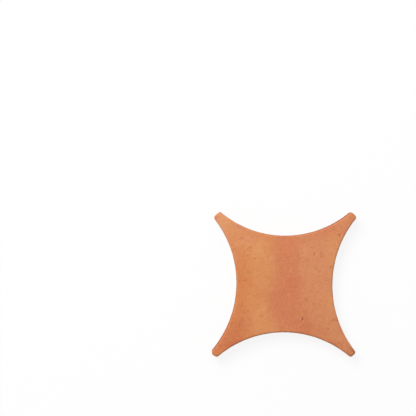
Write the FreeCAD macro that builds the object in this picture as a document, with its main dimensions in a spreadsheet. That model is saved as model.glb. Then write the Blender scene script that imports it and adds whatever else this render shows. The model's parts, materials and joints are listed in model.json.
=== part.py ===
import FreeCAD, Part
import math
import os
import Sketcher

# Unglazed terracotta floor tile with four concave sides and four blunt horns, cut from one
# slab of clay and fired. In the floor it fills the space between its four neighbours. Lengths
# are in millimetres. The bedding face lies on z = 0 with the tile's centre at the origin, the
# middles of the concave sides lie on the x and y axes, and the horns point along the diagonals.

doc = FreeCAD.newDocument("terracotta_tile")

# Driving sizes

sizes = doc.addObject("Spreadsheet::Sheet", "Sizes")
driving_sizes = {
    # the neighbour that each concave side is cut to, and the grout joint along its rim
    "round_tile_diameter": "200",
    "joint_width": "5",
    # the clay left between two concave sides where they come closest
    "horn_width": "8",
    # distance between the facing tips of two such tiles in the floor
    "tip_gap": "14",
    "tile_thickness": "18",
    # rounding of the horns' corners in plan, of the worn upper edge and of the lower edge
    "tip_corner_radius": "3",
    "arris_radius": "2",
    "back_edge_radius": "0.8",
}
for row, (alias, value) in enumerate(driving_sizes.items(), start=1):
    sizes.set(f"A{row}", alias)
    sizes.set(f"B{row}", value)
    sizes.setAlias(f"B{row}", alias)
doc.recompute()

# A concave side has the same centre as the rim of its neighbour, one joint further out
SIDE_RADIUS = "(Sizes.round_tile_diameter / 2 + Sizes.joint_width)"
# Two neighbours, centre to centre, with a horn between them
NEIGHBOUR_SPACING = f"(2 * {SIDE_RADIUS} + Sizes.horn_width)"
SIDE_CENTRE_DISTANCE = f"{NEIGHBOUR_SPACING} / sqrt(2)"
TIP_TO_TIP = f"{NEIGHBOUR_SPACING} - Sizes.tip_gap"
# A horn has room for the two rounded corners of its tip, and they have room for the rounded edges
CORNER_SHARE_OF_HORN = 0.45
EDGE_SHARE_OF_CORNER = 0.8
TIP_CORNER_RADIUS = f"min(Sizes.tip_corner_radius; {CORNER_SHARE_OF_HORN} * Sizes.horn_width)"
LARGEST_EDGE_RADIUS = f"{EDGE_SHARE_OF_CORNER} * {TIP_CORNER_RADIUS}"
ARRIS_RADIUS = f"min(Sizes.arris_radius; {LARGEST_EDGE_RADIUS})"
BACK_EDGE_RADIUS = f"min(Sizes.back_edge_radius; {LARGEST_EDGE_RADIUS})"

SIDES = 4
FULL_TURN = 360

# Sketch helpers, with the numbers by which a sketch knows its points, axes and lines

START, END, CENTRE = range(1, 4)
X_AXIS, Y_AXIS = range(-1, -3, -1)
FIRST, SECOND, THIRD = range(3)
TOLERANCE = 1e-6


def bedding_sketch(body, name):
    """Start a sketch on the plane of the bedding face."""
    plane = next(item for item in body.Origin.OriginFeatures if item.Role == "XY_Plane")
    sketch = body.newObject("Sketcher::SketchObject", name)
    sketch.AttachmentSupport = [(plane, "")]
    sketch.MapMode = "FlatFace"
    return sketch


def length_of(formula):
    """What a formula in the driving sizes comes to."""
    return float(sizes.evalExpression(formula))


def hold(sketch, *terms):
    """Add a constraint and return its number."""
    return sketch.addConstraint(Sketcher.Constraint(*terms))


def drive(sketch, name, formula, *terms):
    """Add a dimension, name it and bind it to the driving sizes."""
    sketch.renameConstraint(hold(sketch, *terms, length_of(formula)), name)
    sketch.setExpression(f"Constraints.{name}", formula)


# The slab: a square of rolled clay, turned so that each side becomes the end of a horn

tile = doc.addObject("PartDesign::Body", "Tile")
tile.Label = "star_tile"

slab_outline = bedding_sketch(tile, "SlabOutline")
corner_reach = length_of(TIP_TO_TIP) / math.sqrt(2)
slab_corners = [
    FreeCAD.Vector(corner_reach, 0, 0),
    FreeCAD.Vector(0, corner_reach, 0),
    FreeCAD.Vector(-corner_reach, 0, 0),
    FreeCAD.Vector(0, -corner_reach, 0),
]
for side in range(SIDES):
    slab_outline.addGeometry(Part.LineSegment(slab_corners[side], slab_corners[(side + 1) % SIDES]))
for side in range(SIDES):
    hold(slab_outline, "Coincident", side, END, (side + 1) % SIDES, START)
    hold(slab_outline, "PointOnObject", side, START, Y_AXIS if side % 2 else X_AXIS)
hold(slab_outline, "Equal", FIRST, SECOND)
hold(slab_outline, "Equal", SECOND, THIRD)
hold(slab_outline, "Perpendicular", FIRST, SECOND)
drive(slab_outline, "tip_to_tip", TIP_TO_TIP, "Distance", FIRST, START, THIRD)

slab = tile.newObject("PartDesign::Pad", "Slab")
slab.Profile = slab_outline
slab.setExpression("Length", "Sizes.tile_thickness")
doc.recompute()
slab_volume = slab.Shape.Volume

# The concave sides: one round bite out of the slab, repeated about the tile's upright axis

bite_outline = bedding_sketch(tile, "BiteOutline")
bite_centre = FreeCAD.Vector(length_of(SIDE_CENTRE_DISTANCE), 0, 0)
upright = FreeCAD.Vector(0, 0, 1)
bite_circle = bite_outline.addGeometry(Part.Circle(bite_centre, upright, length_of(SIDE_RADIUS)))
hold(bite_outline, "PointOnObject", bite_circle, CENTRE, X_AXIS)
centre_terms = ("DistanceX", X_AXIS, START, bite_circle, CENTRE)
drive(bite_outline, "centre_distance", SIDE_CENTRE_DISTANCE, *centre_terms)
drive(bite_outline, "side_radius", SIDE_RADIUS, "Radius", bite_circle)

bite = tile.newObject("PartDesign::Pocket", "Bite")
bite.Profile = bite_outline
bite.Type = "ThroughAll"
bite.Reversed = True

concave_sides = tile.newObject("PartDesign::PolarPattern", "ConcaveSides")
concave_sides.Originals = [bite]
concave_sides.Axis = (bite_outline, ["N_Axis"])
concave_sides.Angle = FULL_TURN
concave_sides.Occurrences = SIDES
tile.Tip = concave_sides
doc.recompute()

# The horns: their upright edges are rounded in plan, so that each one ends bluntly


def is_upright(edge):
    """True for an edge that runs straight up the side of the tile."""
    run = edge.Vertexes[-1].Point - edge.Vertexes[0].Point
    return abs(run.z) > TOLERANCE and abs(run.x) < TOLERANCE and abs(run.y) < TOLERANCE


upright_edges = [
    f"Edge{number}"
    for number, edge in enumerate(concave_sides.Shape.Edges, start=1)
    if is_upright(edge)
]
blunt_horns = tile.newObject("PartDesign::Fillet", "BluntHorns")
blunt_horns.Base = (concave_sides, upright_edges)
blunt_horns.setExpression("Radius", TIP_CORNER_RADIUS)
tile.Tip = blunt_horns
doc.recompute()

# The arrises: the walking face and the bedding face have rounded outlines


def level_face(shape, height):
    """The name of the flat face that lies level at a height."""
    for number, face in enumerate(shape.Faces, start=1):
        if abs(face.BoundBox.ZMin - height) < TOLERANCE and face.BoundBox.ZLength < TOLERANCE:
            return f"Face{number}"
    raise ValueError("no level face at this height")


worn_arris = tile.newObject("PartDesign::Fillet", "WornArris")
worn_arris.Base = (blunt_horns, [level_face(blunt_horns.Shape, blunt_horns.Shape.BoundBox.ZMax)])
worn_arris.setExpression("Radius", ARRIS_RADIUS)
tile.Tip = worn_arris
doc.recompute()

back_edge = tile.newObject("PartDesign::Fillet", "BackEdge")
back_edge.Base = (worn_arris, [level_face(worn_arris.Shape, worn_arris.Shape.BoundBox.ZMin)])
back_edge.setExpression("Radius", BACK_EDGE_RADIUS)
tile.Tip = back_edge
doc.recompute()

# Checks before anything is written

for item in doc.Objects:
    if "Invalid" in item.State or "Error" in item.State:
        raise RuntimeError(f"{item.Label} failed: {item.State}")
if len(upright_edges) != 2 * SIDES:
    raise RuntimeError("every horn has two upright edges")
if concave_sides.Shape.Volume >= slab_volume:
    raise RuntimeError("the concave sides were not cut")
if tile.Shape.isNull() or not tile.Shape.isValid() or len(tile.Shape.Solids) != 1:
    raise RuntimeError("the tile is not one valid solid")

os.makedirs("parts", exist_ok=True)
tile.Shape.exportStep(f"parts/{tile.Label}.step")
box = tile.Shape.optimalBoundingBox()
print(f"{tile.Label}: {box.XLength:.2f} x {box.YLength:.2f} x {box.ZLength:.2f} mm")
print(f"volume {tile.Shape.Volume:.0f} mm3")
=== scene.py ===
import json
import math
import random

import bmesh
import bpy
from mathutils import Color, Matrix, Vector, geometry, noise
from mathutils.bvhtree import BVHTree
from mathutils.kdtree import KDTree


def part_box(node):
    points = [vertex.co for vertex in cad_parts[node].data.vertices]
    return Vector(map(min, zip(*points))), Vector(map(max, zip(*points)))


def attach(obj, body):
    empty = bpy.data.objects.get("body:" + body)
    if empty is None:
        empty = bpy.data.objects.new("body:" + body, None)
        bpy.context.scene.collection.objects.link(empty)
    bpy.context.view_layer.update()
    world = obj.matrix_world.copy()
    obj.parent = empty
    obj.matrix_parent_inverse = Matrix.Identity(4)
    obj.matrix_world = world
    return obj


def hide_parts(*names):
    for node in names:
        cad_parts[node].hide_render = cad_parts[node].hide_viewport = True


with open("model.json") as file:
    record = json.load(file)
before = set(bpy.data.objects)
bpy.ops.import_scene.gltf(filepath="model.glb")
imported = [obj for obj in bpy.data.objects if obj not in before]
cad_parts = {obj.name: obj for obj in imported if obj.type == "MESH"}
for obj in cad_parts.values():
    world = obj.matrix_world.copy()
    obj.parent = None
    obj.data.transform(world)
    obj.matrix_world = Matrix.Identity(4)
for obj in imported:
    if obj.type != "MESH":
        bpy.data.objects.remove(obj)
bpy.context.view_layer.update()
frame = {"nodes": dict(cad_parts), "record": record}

# The tile: the cut slab
# One slab of plain clay, rolled to its thickness and cut by hand round a template with four
# concave sides and four blunt horns. The cut wandered, so no side and no horn is quite nominal.

MM = 0.001
UP = Vector((0, 0, 1))
QUARTER = 90

side_mount = next(mount for mount in frame["record"]["mounts"] if mount["name"] == "joint_side_right")
node_corners = [vert.co for vert in frame["nodes"]["star_tile"].data.vertices]
tile_low, tile_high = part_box("star_tile")
THICKNESS = (tile_high.z - tile_low.z) / MM
TEMPLATE_WAIST = side_mount["pos_m"][0] / MM
TEMPLATE_RADIUS = side_mount["dims"]["r_mm"]
TEMPLATE_REACH = max(corner.x + corner.y for corner in node_corners) / math.sqrt(2) / MM

# How each side left the template, in millimetres: its middle outwards, the centre of its bow
# anticlockwise round the tile, and the bow's radius
SIDE_CUTS = {
    "right": (0.42, -1.2, 3.4),
    "back": (0.36, -2.0, -1.8),
    "left": (-0.64, -0.5, 2.1),
    "front": (0.23, -0.35, -1.6),
}
# How each horn's end left it: its reach, the slant of the cut in degrees, and the radius that
# the clockwise and the anticlockwise corner were rubbed to
HORN_CUTS = {
    "right_back": (-0.8, -4.3, 3.2, 0.8),
    "left_back": (-2.45, 5.3, 1.0, 3.2),
    "left_front": (0.6, -12.6, 3.2, 3.4),
    "right_front": (-0.45, 1.7, 3.0, 2.9),
}
# Steps along a side and round a rubbed corner
SIDE_STEPS = 30
CORNER_STEPS = 6
# The squares that the surface is rebuilt from, and the depth down to which the walking face
# and its arris get squares of half that size
SLAB_GRAIN = 1.0
FINE_DEPTH = 3.6


def turned(place, degrees):
    """A point or direction, turned anticlockwise about the tile's upright axis."""
    return Matrix.Rotation(math.radians(degrees), 3, "Z") @ Vector(place)


def meeting(tip, along, bow):
    """Where the straight cut across a horn's end meets the bow of a side."""
    centre, radius = bow
    points = geometry.intersect_line_sphere(tip, tip + along, centre, radius, False)
    return min(points, key=lambda point: (point - tip).length)


def side_bows():
    """The centre and radius of the bow that each side follows."""
    bows = []
    for quarter, (outwards, aside, wider) in enumerate(SIDE_CUTS.values()):
        radius = TEMPLATE_RADIUS + wider
        centre = turned((TEMPLATE_WAIST + outwards + radius, aside, 0), QUARTER * quarter)
        bows.append((centre, radius))
    return bows


def horn_ends(bows):
    """The clockwise and the anticlockwise corner of each horn's end, before they are rubbed round."""
    ends = []
    for quarter, (further, slant, *_) in enumerate(HORN_CUTS.values()):
        diagonal = QUARTER * (quarter + 0.5)
        tip = turned((TEMPLATE_REACH + further, 0, 0), diagonal)
        along = turned((0, 1, 0), diagonal - slant)
        next_bow = bows[(quarter + 1) % len(bows)]
        ends.append((meeting(tip, along, bows[quarter]), meeting(tip, along, next_bow)))
    return ends


def cut_slab():
    """The slab as the cutter leaves it: the wandering outline, its corners rubbed, at its full height."""
    slab = bmesh.new()
    bows = side_bows()
    ends = horn_ends(bows)
    side_ends = []
    for quarter, (centre, _) in enumerate(bows):
        start = ends[quarter - 1][1] - centre
        end = ends[quarter][0] - centre
        first = slab.verts.new(start + centre)
        sweep = -start.xy.angle_signed(end.xy)
        spun = bmesh.ops.spin(slab, geom=[first], cent=centre, axis=UP, angle=sweep, steps=SIDE_STEPS)
        last = next(item for item in spun["geom_last"] if isinstance(item, bmesh.types.BMVert))
        side_ends.append((first, last))
    horn_corners = []
    for quarter, (_, _, *roundings) in enumerate(HORN_CUTS.values()):
        corners = (side_ends[quarter][1], side_ends[(quarter + 1) % len(side_ends)][0])
        slab.edges.new(corners)
        horn_corners += zip(corners, roundings)
    bmesh.ops.edgeloop_fill(slab, edges=slab.edges[:])
    for corner, rounding in horn_corners:
        runs = [edge.other_vert(corner).co - corner.co for edge in corner.link_edges]
        cut_back = rounding / math.tan(runs[0].angle(runs[1]) / 2)
        bmesh.ops.bevel(
            slab, geom=[corner], offset=cut_back, affect="VERTICES",
            segments=CORNER_STEPS, profile=0.5, material=-1,
        )
    raised = bmesh.ops.extrude_face_region(slab, geom=slab.faces[:])
    top = [item for item in raised["geom"] if isinstance(item, bmesh.types.BMVert)]
    bmesh.ops.translate(slab, verts=top, vec=UP * THICKNESS)
    bmesh.ops.recalc_face_normals(slab, faces=slab.faces[:])
    return slab


def walls_of(slab):
    """The slab's upright walls by themselves, to measure how far a point lies from the outline."""
    walls = slab.copy()
    level = [face for face in walls.faces if abs(face.normal.z) > 0.5]
    bmesh.ops.delete(walls, geom=level, context="FACES")
    tree = BVHTree.FromBMesh(walls)
    walls.free()
    return tree


def even_grain(slab, grain):
    """The slab's surface, rebuilt as even squares of about this size."""
    mesh = bpy.data.meshes.new("slab")
    slab.to_mesh(mesh)
    holder = bpy.data.objects.new("slab", mesh)
    bpy.context.collection.objects.link(holder)
    remesh = holder.modifiers.new("even_grain", "REMESH")
    remesh.mode = "VOXEL"
    remesh.voxel_size = grain
    depsgraph = bpy.context.evaluated_depsgraph_get()
    rebuilt = bpy.data.meshes.new_from_object(holder.evaluated_get(depsgraph))
    bpy.data.objects.remove(holder)
    bpy.data.meshes.remove(mesh)
    even = bmesh.new()
    even.from_mesh(rebuilt)
    bpy.data.meshes.remove(rebuilt)
    return even


def refine(clay, chosen):
    """Halve the squares whose corners are all among the chosen places."""
    kept = {vert for vert in clay.verts if chosen(vert.co)}
    edges = [edge for edge in clay.edges if kept.issuperset(edge.verts)]
    bmesh.ops.subdivide_edges(clay, edges=edges, cuts=1, use_grid_fill=True)


def near_the_face(place):
    """True for a point of the walking face or of the arris round it."""
    return place.z > THICKNESS - FINE_DEPTH


slab = cut_slab()
walls = walls_of(slab)
clay = even_grain(slab, SLAB_GRAIN)
slab.free()
refine(clay, near_the_face)

# The tile: worn edges and marks
# The upper arris was rubbed round by hand and by use, most of all in front, and has a few chips.
# The face was struck off with a wet board and kept its pits, a nick and a gentle swell, and the
# cutter left dents and fine upright streaks in the walls.

# The rounding of the upper arris, and how much rounder it is where it faces this way
ARRIS_RADIUS = 1.35
WORN_TOWARDS = Vector((-0.15, -0.55, 0))
# How often and how strongly the rounded arris is smoothed
ARRIS_PASSES = 2
ARRIS_SMOOTHING = 0.5
# The rounding of the lower edge
FOOT_RADIUS = 0.8
# Chips on the upper arris: a place on the outline, how far the chip reaches and how deep it goes
CHIPS = (
    ((3.9, -48.6), 2.2, 0.7),
    ((53.6, -36.4), 2.6, 1.0),
    ((49.0, 17.5), 2.6, 0.6),
    ((-52.0, 33.0), 2.4, 0.5),
    ((-30.0, 53.6), 2.8, 0.5),
    ((63.5, -58.0), 2.2, 0.6),
    ((-47.0, -55.0), 2.6, 0.6),
)
# Pits that show one by one: their place on the face, their radius and their depth
PITS = (
    ((56.6, 50.2), 1.9, 0.45),
    ((59.3, 58.0), 0.9, 0.3),
    ((52.3, 41.6), 0.9, 0.3),
    ((36.3, 39.8), 1.0, 0.3),
    ((6.5, 40.8), 0.9, 0.3),
    ((29.7, 10.1), 1.0, 0.34),
    ((41.2, -14.9), 1.0, 0.28),
    ((31.4, -15.8), 1.1, 0.28),
    ((27.7, -7.0), 0.9, 0.35),
    ((45.0, -45.6), 1.1, 0.35),
    ((38.4, -38.6), 1.0, 0.3),
    ((-42.6, 47.1), 1.1, 0.35),
    ((-52.9, 40.0), 1.0, 0.5),
    ((-29.4, 26.0), 1.1, 0.5),
    ((-41.4, 18.4), 1.0, 0.35),
    ((-39.9, 4.1), 1.2, 0.5),
    ((-43.0, -22.5), 1.0, 0.45),
    ((-35.8, -10.2), 1.0, 0.35),
    ((-9.6, -10.3), 1.0, 0.35),
    ((-6.7, -18.3), 1.0, 0.35),
    ((-16.3, -28.4), 1.0, 0.35),
)
# Faint ones, mostly in one patch of the face
FAINT_PITS = (
    (-27.2, 44.0), (-37.7, 35.0), (-33.4, 33.6), (-33.6, 29.4), (-26.2, 30.3), (-21.2, 39.9),
    (-19.4, 36.8), (-20.0, 33.5), (-19.0, 31.9), (-17.3, 28.4), (-16.3, 25.6), (-21.9, 25.1),
    (-31.7, 22.5), (-33.4, 21.2), (-45.7, 7.1), (-12.0, 35.6), (-7.9, 35.6), (-2.6, 35.6),
    (-1.1, 38.9), (-35.0, 11.2), (44.7, 44.4), (27.5, 37.2), (18.9, 31.7), (6.3, 27.8),
    (25.8, 44.8), (23.2, 17.5), (20.9, 13.4), (20.5, 8.9), (40.0, 18.2), (29.7, -4.1),
    (36.5, -17.0), (30.2, -24.8), (28.9, -27.1), (34.2, -26.3), (41.0, -27.5), (36.1, -41.8),
    (32.8, -34.0), (47.0, -40.8), (-28.2, -24.6), (-20.2, -18.1), (-33.4, -21.3), (-1.8, -24.0),
    (-16.7, -11.1), (-19.0, -6.1), (-23.3, -9.2), (-30.7, -41.7),
)
FAINT_PIT_RADIUS = 0.95
FAINT_PIT_DEPTH = 0.27
# The nick is a crescent of dents, open to the left
NICK_CENTRE = Vector((16.9, -35.5, 0))
NICK_RADIUS = 2.0
NICK_HALF_ANGLE = 70
NICK_DENTS = 11
NICK_WIDTH = 0.95
NICK_DEPTH = 0.9
NICK_FADE = 0.55
# Small pits by chance, all over the face and in the walls
FACE_PITS = 60
FACE_PIT_RADII = (0.5, 0.9)
FACE_PIT_DEPTHS = (0.1, 0.3)
WALL_PITS = 90
WALL_PIT_RADII = (0.7, 1.6)
WALL_PIT_DEPTHS = (0.2, 0.6)
PIT_SEED = 5
# How far they keep from the edges, and the distance below which two points touch
MARGIN = 3.0
TOUCHING = 1e-3
# Unevenness: the length and the height of each wave, and a seed of its own
ARRIS_WAVES = ((15, 0.7, 1), (5, 0.5, 2))
RAGGED_WAVES = ((1.0, 0.6, 3),)
FACE_WAVES = ((45, 0.3, 5), (11, 0.1, 6), (3, 0.06, 7))
BACK_WAVES = ((30, 0.15, 8), (2.5, 0.06, 9))
WALL_WAVES = ((12, 0.15, 10), (4, 0.15, 12))
STREAK_WAVES = ((1.4, 0.14, 11),)
STREAK_STRETCH = 16
SEED_STEP = 17.3
# The least and the most of its radius that a ragged chip or pit reaches
RAGGED_LEAST = 0.7
RAGGED_MOST = 1.3
# How far from the face, the back and the walls their unevenness dies away
FACE_FADE = 6.0
BACK_FADE = 2.0
WALL_FADE = 3.0

chance = random.Random(PIT_SEED)


def from_outline(place):
    """How far a point lies inside the outline, the nearest point of the outline, and the way inwards."""
    level = Vector((place.x, place.y, THICKNESS / 2))
    nearest, outward, _, depth = walls.find_nearest(level)
    inward = (level - nearest).normalized()
    if depth < TOUCHING or inward.dot(outward) > 0:
        return 0.0, nearest, -outward
    return depth, nearest, inward


def uneven(place, waves):
    """Smooth unevenness at a point, from 0 up to the heights of all the waves together."""
    total = 0.0
    for length, height, seed in waves:
        total += height * (1 + noise.noise(place / length + UP * SEED_STEP * seed)) / 2
    return total


def raggedness(place):
    """The share of its radius that a chip or pit reaches here."""
    return RAGGED_LEAST + uneven(place, RAGGED_WAVES)


def arris_radius(place, inward):
    """The rounding of the upper edge here, with its chips."""
    radius = ARRIS_RADIUS + uneven(place, ARRIS_WAVES) - inward.dot(WORN_TOWARDS)
    for (x, y), reach, depth in CHIPS:
        away = math.hypot(place.x - x, place.y - y) / reach / raggedness(place)
        if away < 1:
            radius += depth * (1 - away * away)
    return radius


def rounded(across, down, radius):
    """A point of a square edge, moved onto a quarter circle of this radius."""
    arm = Vector((across - radius, down - radius))
    arm.length = radius
    return arm.x + radius, arm.y + radius


def by_chance(places, number, radii, depths):
    """A number of pits at some of these places."""
    chosen = chance.sample(places, number)
    return [(place, chance.uniform(*radii), chance.uniform(*depths)) for place in chosen]


def all_pits():
    """Every pit and dent of the tile: its place, its radius and its depth."""
    found = [(Vector((*place, THICKNESS)), radius, depth) for place, radius, depth in PITS]
    for place in FAINT_PITS:
        found.append((Vector((*place, THICKNESS)), FAINT_PIT_RADIUS, FAINT_PIT_DEPTH))
    for dent in range(NICK_DENTS):
        share = 2 * dent / (NICK_DENTS - 1) - 1
        place = NICK_CENTRE + turned((NICK_RADIUS, 0, THICKNESS), NICK_HALF_ANGLE * share)
        fade = 1 - NICK_FADE * abs(share)
        found.append((place, NICK_WIDTH * fade, NICK_DEPTH * fade))
    face_places = []
    wall_places = []
    for vert in clay.verts:
        if THICKNESS - vert.co.z < TOUCHING and from_outline(vert.co)[0] > MARGIN:
            face_places.append(vert.co.copy())
        elif MARGIN < vert.co.z < THICKNESS - MARGIN:
            wall_places.append(vert.co.copy())
    found += by_chance(face_places, FACE_PITS, FACE_PIT_RADII, FACE_PIT_DEPTHS)
    found += by_chance(wall_places, WALL_PITS, WALL_PIT_RADII, WALL_PIT_DEPTHS)
    return found


def tree_of(places):
    """A search tree of these places."""
    tree = KDTree(len(places))
    for number, place in enumerate(places):
        tree.insert(place, number)
    tree.balance()
    return tree


pits = all_pits()
pit_tree = tree_of([place for place, _, _ in pits])


def at_a_pit(place):
    """True for a point that a pit reaches."""
    _, number, away = pit_tree.find(place)
    return away < pits[number][1] * RAGGED_MOST


refine(clay, at_a_pit)

# the arris and the foot are rounded first
arris_verts = []
for vert in clay.verts:
    depth, nearest, inward = from_outline(vert.co)
    height = vert.co.z
    arris = arris_radius(vert.co, inward)
    if depth < arris and THICKNESS - height < arris:
        depth, below = rounded(depth, THICKNESS - height, arris)
        height = THICKNESS - below
        arris_verts.append(vert)
    elif depth < FOOT_RADIUS and height < FOOT_RADIUS:
        depth, height = rounded(depth, height, FOOT_RADIUS)
    else:
        continue
    moved = nearest + inward * depth
    vert.co = (moved.x, moved.y, height)
for _ in range(ARRIS_PASSES):
    bmesh.ops.smooth_vert(
        clay, verts=arris_verts, factor=ARRIS_SMOOTHING,
        use_axis_x=True, use_axis_y=True, use_axis_z=True,
    )

# then the pits are sunk into the rounded slab
pit_layer = clay.verts.layers.float.new("pit")
wall_layer = clay.verts.layers.float.new("wall")
clay.verts.ensure_lookup_table()
clay_tree = tree_of([vert.co for vert in clay.verts])
for place, radius, depth in pits:
    for found, number, away in clay_tree.find_range(place, radius * RAGGED_MOST):
        share = away / radius / raggedness(found)
        if share < 1:
            vert = clay.verts[number]
            vert[pit_layer] = max(vert[pit_layer], depth * (1 - share * share) ** 2)

# and the face, the walls and the back get their unevenness, all of it inwards
clay.normal_update()
ways_out = [vert.normal.copy() for vert in clay.verts]
for vert, way_out in zip(clay.verts, ways_out):
    place = vert.co.copy()
    depth, nearest, inward = from_outline(place)
    vert[wall_layer] = 1 - abs(way_out.z)
    at_face = max(0.0, 1 - (THICKNESS - place.z) / FACE_FADE)
    at_back = max(0.0, 1 - place.z / BACK_FADE)
    at_wall = max(0.0, 1 - depth / WALL_FADE)
    streak = Vector((nearest.x, nearest.y, place.z / STREAK_STRETCH))
    vert.co.z += at_back * uneven(place, BACK_WAVES) - at_face * uneven(place, FACE_WAVES)
    vert.co += inward * at_wall * (uneven(place, WALL_WAVES) + uneven(streak, STREAK_WAVES))
    vert.co -= way_out * vert[pit_layer]

for face in clay.faces:
    face.smooth = True
bmesh.ops.scale(clay, vec=(MM, MM, MM), verts=clay.verts[:])
tile_mesh = bpy.data.meshes.new("star_tile_fired")
clay.to_mesh(tile_mesh)
clay.free()
tile = bpy.data.objects.new("star_tile_fired", tile_mesh)
bpy.context.collection.objects.link(tile)

# The tile: the fired clay
# Unglazed clay, matt and porous all through. In the kiln the flame flashed its face in bands from
# ochre to rose, and left each horn a tint of its own. The walls are redder, and darker as painted
# shade, and the back is sandy. Painted shade also darkens the pits and the nick, the front edges of
# the front horns and the tip of the right front horn.


def seen(red, green, blue):
    """A colour as the eye reads it, 0 to 255, in the linear units of the shader."""
    return (*Color((red / 255, green / 255, blue / 255)).from_srgb_to_scene_linear(), 1)


TAN = seen(214, 139, 96)
SAND = seen(216, 146, 102)
OCHRE = seen(216, 143, 93)
GOLD = seen(220, 152, 98)
PEACH = seen(226, 160, 113)
BISCUIT = seen(222, 149, 105)
BLUSH = seen(221, 140, 104)
CORAL = seen(214, 132, 90)
ORANGE = seen(213, 132, 82)
AMBER = seen(209, 129, 77)
ROSE = seen(209, 128, 89)
DEEP_ROSE = seen(205, 121, 85)
BRICK = seen(200, 117, 78)
# painted shade for the front edges of the two front horns
FRONT_EDGE_SHADE = seen(198, 107, 69)
DUSK = seen(196, 116, 83)
RUST = seen(186, 108, 74)
BROWN = seen(208, 136, 93)
OLIVE = seen(198, 134, 88)
MAUVE = seen(205, 133, 101)
# umber for a blotch, and painted shade on the tip of the right front horn
UMBER_AND_TIP_SHADE = seen(174, 104, 70)
PALE_GRAIN = seen(231, 166, 121)
# the dark red of the painted shade in the pits and the nick
PIT_SHADE_RED = seen(122, 48, 40)
# the walls' own redder clay, made darker as painted shade
WALL_RED_AND_SHADE = seen(156, 76, 42)
WALL_DUST = seen(205, 136, 97)
BACK_SAND = seen(212, 147, 107)
BACK_DUST = seen(222, 170, 132)

# Hazes that the flame left, and three patches of painted shade marked below: the middle, the reach along x
# and y, the tint and its share
HAZES = (
    ((-68, 68), (30, 30), PEACH, 0.8),
    ((-72, 72), (5, 5), DUSK, 0.6),
    ((-42, 46), (15, 10), BISCUIT, 0.5),
    ((-24, 51), (16, 6), CORAL, 0.6),
    ((-42, 59), (12, 3), MAUVE, 0.6),
    ((2, 38), (14, 12), CORAL, 0.6),
    ((-26, 36), (10, 12), GOLD, 0.65),
    ((-39, 28), (9, 6), ORANGE, 0.5),
    ((-50, 26), (7, 12), TAN, 0.6),
    ((-41, 5), (9, 12), AMBER, 0.5),
    ((-46, -26), (7, 9), AMBER, 0.4),
    ((-44, -40), (8, 9), BRICK, 0.6),
    ((-52, -54), (14, 14), BRICK, 0.4),
    ((-66, -65), (22, 22), DEEP_ROSE, 0.35),
    ((-24, -25), (9, 9), GOLD, 0.3),
    ((-20, -9), (8, 8), BROWN, 0.5),
    ((-26, -13), (8, 7), AMBER, 0.4),
    ((10, 2), (11, 10), DEEP_ROSE, 0.45),
    ((-7, -14), (8, 9), DEEP_ROSE, 0.5),
    ((4, -30), (10, 10), DEEP_ROSE, 0.35),
    ((20, -39), (9, 8), BRICK, 0.6),
    ((33, -49), (14, 8), BRICK, 0.5),
    ((44, 55), (18, 9), ROSE, 0.8),
    ((23, 49), (8, 5), ROSE, 0.45),
    ((74, 73), (7, 7), DEEP_ROSE, 0.7),
    ((51, 45), (8, 9), GOLD, 0.5),
    ((41, 36), (12, 10), SAND, 0.5),
    ((20, 33), (7, 8), SAND, 0.35),
    ((34, 14), (16, 7), SAND, 0.4),
    ((49, 25), (5, 6), GOLD, 0.6),
    ((47, -21), (7, 10), GOLD, 0.5),
    ((34, -30), (15, 12), BROWN, 0.5),
    ((60, -57), (22, 20), BROWN, 0.7),
    ((58, -57), (9, 9), SAND, 0.35),
    # painted shade on the tip of the right front horn
    ((73, -72), (7.5, 7.5), UMBER_AND_TIP_SHADE, 0.9),
    # painted shade along the front edges of the two front horns
    ((-50, -62), (12, 5), FRONT_EDGE_SHADE, 0.75),
    ((46, -60.5), (13, 4.5), FRONT_EDGE_SHADE, 0.75),
    ((17.6, -35.4), (3.8, 3.8), BLUSH, 0.35),
)
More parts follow.
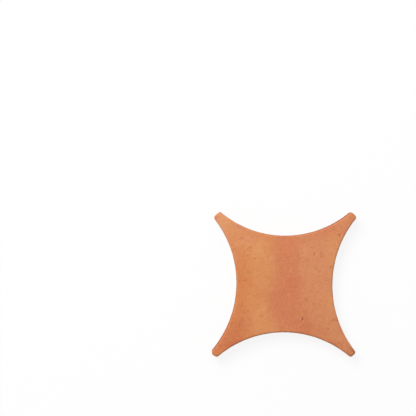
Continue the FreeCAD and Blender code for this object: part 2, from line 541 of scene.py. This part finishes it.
# Small blotches with a clearer outline
BLOTCHES = (
    ((30.8, 31.6), (2.0, 2.9), DUSK, 0.7),
    ((37.2, 31.8), (2.2, 2.6), DEEP_ROSE, 0.5),
    ((38.4, 28.8), (2.8, 3.0), DUSK, 0.7),
    ((32.6, 16.2), (2.4, 2.0), DUSK, 0.7),
    ((35.8, 13.8), (2.2, 2.6), DUSK, 0.6),
    ((24.0, 24.6), (2.8, 2.0), DUSK, 0.55),
    ((18.2, 43.0), (5.0, 3.0), DEEP_ROSE, 0.45),
    ((14.6, 30.2), (1.8, 2.2), DUSK, 0.55),
    ((15.0, 5.0), (4.0, 5.0), DEEP_ROSE, 0.5),
    ((47.2, 17.4), (2.2, 2.4), RUST, 0.6),
    ((50.6, -36.2), (3.0, 1.9), RUST, 0.5),
    ((53.6, -36.6), (1.8, 1.6), RUST, 0.6),
    ((-43.6, -38.0), (2.8, 4.2), DEEP_ROSE, 0.5),
    ((-22.4, -31.8), (3.2, 2.2), DUSK, 0.45),
    ((22.8, -14.8), (2.7, 2.4), RUST, 0.6),
    ((24.6, -17.2), (1.6, 1.8), RUST, 0.4),
    ((19.9, -7.8), (2.0, 2.2), DUSK, 0.5),
    ((16.2, -19.3), (2.4, 2.2), DUSK, 0.45),
    ((22.6, -28.4), (2.0, 2.0), DUSK, 0.55),
    ((-34.8, 36.9), (4.4, 3.2), ORANGE, 0.4),
    ((-32.2, 45.4), (3.6, 2.4), BLUSH, 0.5),
    ((4.1, -46.8), (1.3, 0.9), PALE_GRAIN, 0.9),
    ((-43.6, 46.6), (2.8, 2.2), UMBER_AND_TIP_SHADE, 0.25),
    ((-36.0, 46.4), (3.6, 2.6), PALE_GRAIN, 0.42),
    ((-41.0, 42.0), (3.4, 2.4), PALE_GRAIN, 0.3),
    ((-35.6, 37.6), (3.0, 1.8), DUSK, 0.35),
    ((-39.4, 33.8), (3.2, 2.4), DUSK, 0.3),
    ((-24.0, 33.2), (3.4, 3.4), PEACH, 0.35),
    ((-13.0, 27.0), (4.4, 3.6), PEACH, 0.45),
    ((-35.4, 11.4), (4.2, 4.2), OLIVE, 0.5),
    ((-29.4, 12.0), (2.2, 4.4), GOLD, 0.5),
    ((-20.6, 36.4), (2.0, 3.6), OLIVE, 0.35),
    ((-43.6, -30.8), (3.0, 2.2), BISCUIT, 0.4),
    ((-38.6, -39.6), (3.2, 3.8), BISCUIT, 0.4),
    ((-22.4, -26.0), (4.2, 2.2), PEACH, 0.35),
    ((-14.8, -24.6), (2.6, 4.4), DUSK, 0.35),
    ((-22.4, -12.4), (3.8, 2.4), DUSK, 0.3),
    ((14.4, 24.2), (2.8, 2.8), DEEP_ROSE, 0.5),
    ((16.8, 9.6), (2.4, 3.2), SAND, 0.5),
    ((36.0, 2.4), (6.4, 3.6), MAUVE, 0.45),
    ((29.2, -13.2), (3.2, 3.2), SAND, 0.45),
    ((46.0, 9.6), (2.4, 5.6), GOLD, 0.45),
)
# Pale strokes of the wet board, slanting up to the right: the middle, half the length and the
# width, and the share
STROKES = (
    ((-36.6, 39.5), (4.2, 1.2), 0.5),
    ((-31.0, 33.8), (4.0, 1.4), 0.25),
    ((-44.0, 41.0), (4.0, 1.3), 0.2),
    ((-20.6, 30.6), (3.6, 1.2), 0.2),
    ((-39.0, 31.2), (3.4, 1.1), 0.2),
    ((-27.6, 40.4), (3.8, 1.4), 0.2),
)
# How far a blotch's outline is frayed, and how soft it is
BLOTCH_FRAY = 0.4
BLOTCH_EDGE = 1.2
# The rose band down the face: where each of its edges crosses the middle line, how the edge
# slants and bows, and how softly it ends
ROSE_LEFT = -7.5
ROSE_LEFT_SLANT = 0.04
ROSE_LEFT_FADE = 9
ROSE_RIGHT = 17
ROSE_RIGHT_SLANT = 0.17
ROSE_RIGHT_BOW = 0.0025
ROSE_RIGHT_FADE = 5
ROSE_SHARE = 0.9
# The bulge of its left edge: how far it goes, its middle along y and its reach
BULGE = 8
BULGE_MIDDLE = -19
BULGE_REACH = 30
# Where the ochre of the left half and the orange along its side set in, and where they are full
OCHRE_RANGE = (8, -16)
ORANGE_RANGE = (-28, -48)
# The share of dust on the walls and on the back
WALL_DUST_SHARE = 0.2
BACK_DUST_SHARE = 0.4
# The walls' colour, their own red darkened as painted shade: its share, and how upright the clay is where
# it sets in and is full
WALL_SHARE = 0.9
WALL_RANGE = (0.45, 0.95)
# The heights at which the colour of the back sets in and is full
BACK_RANGE = (1.5, 0.3)
# The noise that makes the clay uneven lies about this middle, and is spread by this much
NOISE_MIDDLE = 0.5
NOISE_SPREAD = 4
# Uneven clay: for each layer its size in millimetres, its share, a seed of its own and, in the
# flush, the swirl that draws it into wisps
FLAME_WANDER_X = ((26, 2.5, 1), (7, 1.2, 2))
FLAME_WANDER_Y = ((26, 2.5, 3), (7, 1.2, 4))
BAND_WANDER = ((4, 1.5, 28),)
MARK_WANDER_X = ((3, 0.8, 5),)
MARK_WANDER_Y = ((3, 0.8, 6),)
FRAYING = ((5, 1, 7), (2.8, 1, 21), (1.6, 0.8, 8))
WALL_CLOUDS = ((9, 0.15, 19),)
WALL_STREAKS = ((1.4, 0.1, 18),)
BACK_CLOUDS = ((14, 0.3, 22),)
FLUSH = ((7, 0.08, 9, 1.0), (3.6, 0.14, 10, 2.0))
GRAIN = ((6, 0.06, 11), (2.2, 0.14, 12), (0.9, 0.145, 13))
BOARD_GRAIN = ((3.6, 0.12, 29),)
POLISH = ((4, 0.04, 17),)
SKIN = ((1.6, 0.02, 15), (0.5, 0.03, 16))
# Wisps of a tint: for the clouds that they gather in and for their threads, the size, a seed
# and the range over which they come up
OCHRE_WISPS = ((9, 23, (0.1, 1.1)), (3, 24, (-0.5, 0.8)))
PALE_WISPS = ((7, 25, (0.2, 1.2)), (2.5, 26, (-0.4, 0.8)))
WISP_SHARE = 0.35
# The fine strokes of the board: the patch that they show in, their slant in degrees, how much
# longer than wide they are, the size and seed of strokes and clouds, and their share
BOARD_MIDDLE = (-32, 30)
BOARD_REACH = (24, 26)
BOARD_SLANT = 45
BOARD_STRETCH = 3.5
BOARD_STROKES = (1.9, 14)
BOARD_CLOUDS = (9, 27)
BOARD_RISE = (-0.6, 0.6)
BOARD_SHARE = 0.2
# Freckles and grains: how far apart they are, the reach of the largest and their share
FRECKLES = (6.5, 2.2)
FRECKLE_SHARE = 0.3
LIGHT_SPECKS = (4.3, 1.0)
LIGHT_SPECK_SHARE = 0.55
DARK_SPECKS = (3.4, 1.0)
DARK_SPECK_SHARE = 0.36
# The share of the freckles that the left half has, and the half width of the change
FRECKLES_LEFT = 0.35
FRECKLES_FADE = 12
# How ragged a grain is, a seed for that, and the range of lots from bare clay to a full grain
SPECK_RAGGED = 0.35
SPECK_SEED = 20
SPECK_LOTS = (0.4, 0.7)
# Painted shade in the pits and the nick, a dark red that grows with their depth: its share, and the depth
# at which it is full
PIT_SHADE_SHARE = 0.52
PIT_SHADE_FULL = 0.55
# The matt surface, smoother on the worn arris, between the level face and the upright wall, with
# the depth of its dark grains
ROUGHNESS = 0.88
ARRIS_POLISH = 0.2
ARRIS_RISE = (0.03, 0.15)
ARRIS_FALL = (0.7, 0.35)
SPECK_DEPTH = 0.08
GLOSS = 0.12


class Field:
    """A value or colour that changes over a surface: one socket, with arithmetic that adds nodes."""

    tree = None
    # The colour sockets of a Mix node
    SHARE, FIRST, SECOND, MIXED = 0, 6, 7, 2

    def __init__(self, socket):
        self.socket = socket

    @classmethod
    def feed(cls, node, sockets):
        """Link a node's sockets to fields, or set them to values."""
        for name, value in sockets.items():
            if isinstance(value, cls):
                cls.tree.links.new(value.socket, node.inputs[name])
            else:
                node.inputs[name].default_value = value

    @classmethod
    def node(cls, kind, settings, sockets, output=0):
        """One output of a new node."""
        made = cls.tree.nodes.new(kind)
        for name, value in settings.items():
            setattr(made, name, value)
        cls.feed(made, sockets)
        return cls(made.outputs[output])

    @classmethod
    def maths(cls, operation, *terms):
        """A Math node on fields and numbers."""
        return cls.node("ShaderNodeMath", {"operation": operation}, dict(enumerate(terms)))

    @classmethod
    def blend(cls, first, second, share):
        """The first colour with a share of the second, or moved away from it by a share below 0."""
        settings = {"data_type": "RGBA", "clamp_factor": False}
        sockets = {cls.SHARE: share, cls.FIRST: first, cls.SECOND: second}
        return cls.node("ShaderNodeMix", settings, sockets, cls.MIXED)

    def __add__(self, other):
        return Field.maths("ADD", self, other)

    def __radd__(self, other):
        return Field.maths("ADD", other, self)

    def __sub__(self, other):
        return Field.maths("SUBTRACT", self, other)

    def __rsub__(self, other):
        return Field.maths("SUBTRACT", other, self)

    def __mul__(self, other):
        return Field.maths("MULTIPLY", self, other)

    def __rmul__(self, other):
        return Field.maths("MULTIPLY", other, self)

    def __truediv__(self, other):
        return Field.maths("DIVIDE", self, other)

    def __rtruediv__(self, other):
        return Field.maths("DIVIDE", other, self)

    def step(self, low, high):
        """0 below low, 1 above high and smooth between, or the other way round if low is above high."""
        ends = {"Value": self, "From Min": low, "From Max": high}
        return Field.node("ShaderNodeMapRange", {"interpolation_type": "SMOOTHSTEP"}, ends)

    def frayed(self, fray):
        """This mask with its soft edge broken up."""
        return self + self * (1 - self) * fray

    def towards(self, colour, share):
        """This colour with a share of another."""
        return Field.blend(self, colour, share)


def mottle(place, size, seed, swirl=0.0):
    """Uneven clay of about this size in millimetres, mostly from -1 to 1, drawn into wisps by the swirl."""
    sockets = {"Vector": place, "W": seed, "Scale": 1 / size, "Distortion": swirl}
    cloud = Field.node("ShaderNodeTexNoise", {"noise_dimensions": "4D"}, sockets)
    return NOISE_SPREAD * (cloud - NOISE_MIDDLE)


def mottles(place, layers):
    """Uneven clay of several sizes, each with its share."""
    parts = [share * mottle(place, size, seed, *swirl) for size, share, seed, *swirl in layers]
    return sum(parts[1:], parts[0])


def wisps(place, layers):
    """Threads that gather in clouds."""
    clouds, threads = (mottle(place, size, seed).step(*rise) for size, seed, rise in layers)
    return clouds * threads


def specks(place, spacing, reach):
    """Uneven grains or spots, scattered about this far apart and of many sizes up to the reach."""
    cells = {"Vector": place, "Scale": 1 / spacing}
    away = Field.node("ShaderNodeTexVoronoi", {}, cells, "Distance") * spacing
    lot = Field.node("ShaderNodeTexVoronoi", {}, cells, "Color")
    ragged = SPECK_RAGGED * reach * mottle(place, reach, SPECK_SEED)
    return (away + ragged).step(reach, 0) * lot.step(*SPECK_LOTS)


def stretched(place, degrees, lengths):
    """Places for a pattern that is turned about the upright axis and drawn out along each axis."""
    sockets = {"Vector": place, "Rotation": (0, 0, math.radians(degrees)), "Scale": lengths}
    return Field.node("ShaderNodeMapping", {"vector_type": "TEXTURE"}, sockets)


def from_middle(x, y, middle, reach):
    """The square of how far a point lies from the middle of a mark, where 1 is the mark's reach."""
    across = (x - middle[0]) / reach[0]
    along = (y - middle[1]) / reach[1]
    return across * across + along * along


def glow(x, y, middle, reach):
    """A soft patch: 1 in its middle, and a little over a third at its reach."""
    return Field.maths("EXPONENT", 0 - from_middle(x, y, middle, reach))


def flashed_and_shaded_face(place, y, flame_x, flame_y, fray):
    """The face as the flame left it: the bands from the left side to the right, and the hazes, three of
    them painted shade.
    """
    wander = mottles(place, BAND_WANDER)
    from_bulge = y - BULGE_MIDDLE
    bulge = BULGE * (from_bulge * from_bulge).step(BULGE_REACH ** 2, 0)
    left = flame_x + wander - ROSE_LEFT + ROSE_LEFT_SLANT * y + bulge
    right = ROSE_RIGHT - ROSE_RIGHT_SLANT * y + ROSE_RIGHT_BOW * y * y - flame_x - wander
    rose = left.step(-ROSE_LEFT_FADE, ROSE_LEFT_FADE) * right.step(-ROSE_RIGHT_FADE, ROSE_RIGHT_FADE)
    clay = Field.blend(TAN, OCHRE, flame_x.step(*OCHRE_RANGE).frayed(fray))
    clay = clay.towards(ORANGE, flame_x.step(*ORANGE_RANGE).frayed(fray))
    clay = clay.towards(ROSE, ROSE_SHARE * rose.frayed(fray))
    for middle, reach, tint, share in HAZES:
        haze = glow(flame_x, flame_y, middle, reach)
        clay = clay.towards(tint, share * haze.frayed(fray))
    return clay


def marked_face(clay, mark_x, mark_y, fray):
    """The face with its blotches and the strokes of the wet board."""
    for middle, reach, tint, share in BLOTCHES:
        inside = 1 + BLOTCH_FRAY * fray - from_middle(mark_x, mark_y, middle, reach)
        clay = clay.towards(tint, share * inside.step(0, BLOTCH_EDGE))
    slant = math.sqrt(0.5)
    up_right = (mark_x + mark_y) * slant
    up_left = (mark_y - mark_x) * slant
    for (middle_x, middle_y), reach, share in STROKES:
        middle = ((middle_x + middle_y) * slant, (middle_y - middle_x) * slant)
        clay = clay.towards(PALE_GRAIN, share * glow(up_right, up_left, middle, reach))
    return clay


def walls_and_back(clay, place, z, wall):
    """The clay with the redder walls, darkened as painted shade, with their upright streaks, and the sandy
    back.
    """
    streaks = mottles(stretched(place, 0, (1, 1, STREAK_STRETCH)), WALL_STREAKS)
    wall_dust = WALL_DUST_SHARE + mottles(place, WALL_CLOUDS) + streaks
    wall_clay_and_shade = Field.blend(WALL_RED_AND_SHADE, WALL_DUST, wall_dust)
    back_dust = BACK_DUST_SHARE + mottles(place, BACK_CLOUDS)
    back_clay = Field.blend(BACK_SAND, BACK_DUST, back_dust)
    clay = clay.towards(wall_clay_and_shade, WALL_SHARE * wall.step(*WALL_RANGE))
    return clay.towards(back_clay, z.step(*BACK_RANGE))


def grained(clay, place, x, y, flame_x, dark_specks):
    """The clay with its mottled body, rusty freckles, grains and the fine strokes in one corner."""
    on_the_right = flame_x.step(-FRECKLES_FADE, FRECKLES_FADE)
    freckles = specks(place, *FRECKLES) * (FRECKLES_LEFT + (1 - FRECKLES_LEFT) * on_the_right)
    drawn_out = stretched(place, BOARD_SLANT, (BOARD_STRETCH, 1, 1))
    board = mottle(drawn_out, *BOARD_STROKES) * mottle(place, *BOARD_CLOUDS).step(*BOARD_RISE)
    corner = glow(x, y, BOARD_MIDDLE, BOARD_REACH)
    grain = mottles(place, GRAIN) + corner * (BOARD_SHARE * board + mottles(place, BOARD_GRAIN))
    light_specks = specks(place, *LIGHT_SPECKS)
    clay = clay.towards(GOLD, WISP_SHARE * wisps(place, OCHRE_WISPS))
    clay = clay.towards(BLUSH, WISP_SHARE * wisps(place, PALE_WISPS))
    clay = clay.towards(BRICK, mottles(place, FLUSH))
    clay = clay.towards(RUST, FRECKLE_SHARE * freckles)
    pale = grain + LIGHT_SPECK_SHARE * light_specks - DARK_SPECK_SHARE * dark_specks
    return clay.towards(PALE_GRAIN, pale)


def fired_terracotta():
    """The clay of the tile, from the flashed face to the sandy back."""
    material = bpy.data.materials.new("fired_terracotta")
    material.use_nodes = True
    Field.tree = material.node_tree

    metres = Field.node("ShaderNodeTexCoord", {}, {}, "Object")
    place = Field.node("ShaderNodeVectorMath", {"operation": "SCALE"}, {0: metres, "Scale": 1 / MM})
    x, y, z = (Field.node("ShaderNodeSeparateXYZ", {}, {0: place}, axis) for axis in "XYZ")
    pit = Field.node("ShaderNodeAttribute", {"attribute_name": "pit"}, {}, "Fac")
    wall = Field.node("ShaderNodeAttribute", {"attribute_name": "wall"}, {}, "Fac")
    dark_specks = specks(place, *DARK_SPECKS)

    # the flame wandered, and the edges of what it left are frayed
    flame_x = x + mottles(place, FLAME_WANDER_X)
    flame_y = y + mottles(place, FLAME_WANDER_Y)
    mark_x = x + mottles(place, MARK_WANDER_X)
    mark_y = y + mottles(place, MARK_WANDER_Y)
    fray = mottles(place, FRAYING)
    clay = flashed_and_shaded_face(place, y, flame_x, flame_y, fray)
    clay = marked_face(clay, mark_x, mark_y, fray)
    clay = walls_and_back(clay, place, z, wall)
    clay = grained(clay, place, x, y, flame_x, dark_specks)
    # the pits and the nick are painted darker the deeper they go: painted shade
    clay = clay.towards(PIT_SHADE_RED, PIT_SHADE_SHARE * pit.step(0, PIT_SHADE_FULL))

    # the surface is matt, and a little smoother where the arris is worn
    worn = wall.step(*ARRIS_RISE) * wall.step(*ARRIS_FALL)
    roughness = ROUGHNESS + mottles(place, POLISH) - ARRIS_POLISH * worn
    height = mottles(place, SKIN) - SPECK_DEPTH * dark_specks
    bump = Field.node("ShaderNodeBump", {}, {"Distance": MM, "Height": height})
    shader = material.node_tree.nodes["Principled BSDF"]
    Field.feed(shader, {"Base Color": clay, "Roughness": roughness, "Normal": bump})
    Field.feed(shader, {"Specular IOR Level": GLOSS})
    return material


tile_mesh.materials.append(fired_terracotta())
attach(tile, "root")
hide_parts("star_tile")

# The floor
# A wide sheet of plain white card that the tile lies on. It shows nearly white by itself, and
# keeps a faint shadow of the tile.

FLOOR_HALF = 4.0
CARD_WHITE = (0.95, 0.95, 0.95, 1)
PURE_WHITE = (1, 1, 1, 1)
CARD_GLOW = 0.88

floor_shape = bmesh.new()
bmesh.ops.create_grid(floor_shape, x_segments=1, y_segments=1, size=FLOOR_HALF)
floor_mesh = bpy.data.meshes.new("floor")
floor_shape.to_mesh(floor_mesh)
floor_shape.free()
floor = bpy.data.objects.new("floor", floor_mesh)
bpy.context.collection.objects.link(floor)


def seen_directly():
    """1 for the rays that show what lies behind the tile, and 0 for those that light it."""
    seen_by = Field.node("ShaderNodeLightPath", {}, {}, "Is Camera Ray")
    for ray in ("Is Glossy Ray", "Is Transmission Ray"):
        seen_by = Field.maths("MAXIMUM", seen_by, Field.node("ShaderNodeLightPath", {}, {}, ray))
    return seen_by


def white_card():
    """Matt white card, mixed with its own white where it is seen directly."""
    material = bpy.data.materials.new("white_card")
    material.use_nodes = True
    material.node_tree.nodes.clear()
    Field.tree = material.node_tree
    lit = Field.node("ShaderNodeBsdfDiffuse", {}, {"Color": CARD_WHITE})
    white = Field.node("ShaderNodeEmission", {}, {"Color": PURE_WHITE, "Strength": 1.0})
    card = Field.node("ShaderNodeMixShader", {}, {0: CARD_GLOW * seen_directly(), 1: lit, 2: white})
    output = material.node_tree.nodes.new("ShaderNodeOutputMaterial")
    Field.feed(output, {"Surface": card})
    return material


floor_mesh.materials.append(white_card())

# The light
# Soft daylight from all round, and one large soft lamp high up at the back left, which leaves
# the walls in front and on the right in a gentle shade.

SKY = 0.33
LAMP_PLACE = Vector((-0.88, 1.2, 1.85))
LAMP_SIDE = 1.2
LAMP_WATTS = 50.5

world = bpy.data.worlds.new("daylight")
bpy.context.scene.world = world
world.use_nodes = True
Field.tree = world.node_tree
sky = SKY + (1 - SKY) * seen_directly()
Field.feed(world.node_tree.nodes["Background"], {"Color": PURE_WHITE, "Strength": sky})

lamp_data = bpy.data.lights.new("lamp", "AREA")
lamp_data.shape = "SQUARE"
lamp_data.size = LAMP_SIDE
lamp_data.energy = LAMP_WATTS
lamp = bpy.data.objects.new("lamp", lamp_data)
lamp.location = LAMP_PLACE
lamp.rotation_euler = LAMP_PLACE.to_track_quat("Z", "Y").to_euler()
bpy.context.collection.objects.link(lamp)

# The camera
# It looks straight down on the tile, which lies low and to the right in the square picture. The
# picture's side and the tile's middle in it are in pixels, the lens and the sensor in millimetres.

PICTURE_SIDE = 416
TILE_MIDDLE = (284.2, 284.4)
CAMERA_HEIGHT = 1.196
LENS = 100
SENSOR = 36

camera_data = bpy.data.cameras.new("camera")
camera_data.lens = LENS
camera_data.sensor_width = SENSOR
camera = bpy.data.objects.new("camera", camera_data)
pixel = (CAMERA_HEIGHT - THICKNESS * MM) * SENSOR / LENS / PICTURE_SIDE
camera.location = (
    (PICTURE_SIDE / 2 - TILE_MIDDLE[0]) * pixel,
    (TILE_MIDDLE[1] - PICTURE_SIDE / 2) * pixel,
    CAMERA_HEIGHT,
)
bpy.context.collection.objects.link(camera)
bpy.context.scene.camera = camera
bpy.context.scene.view_settings.view_transform = "Standard"
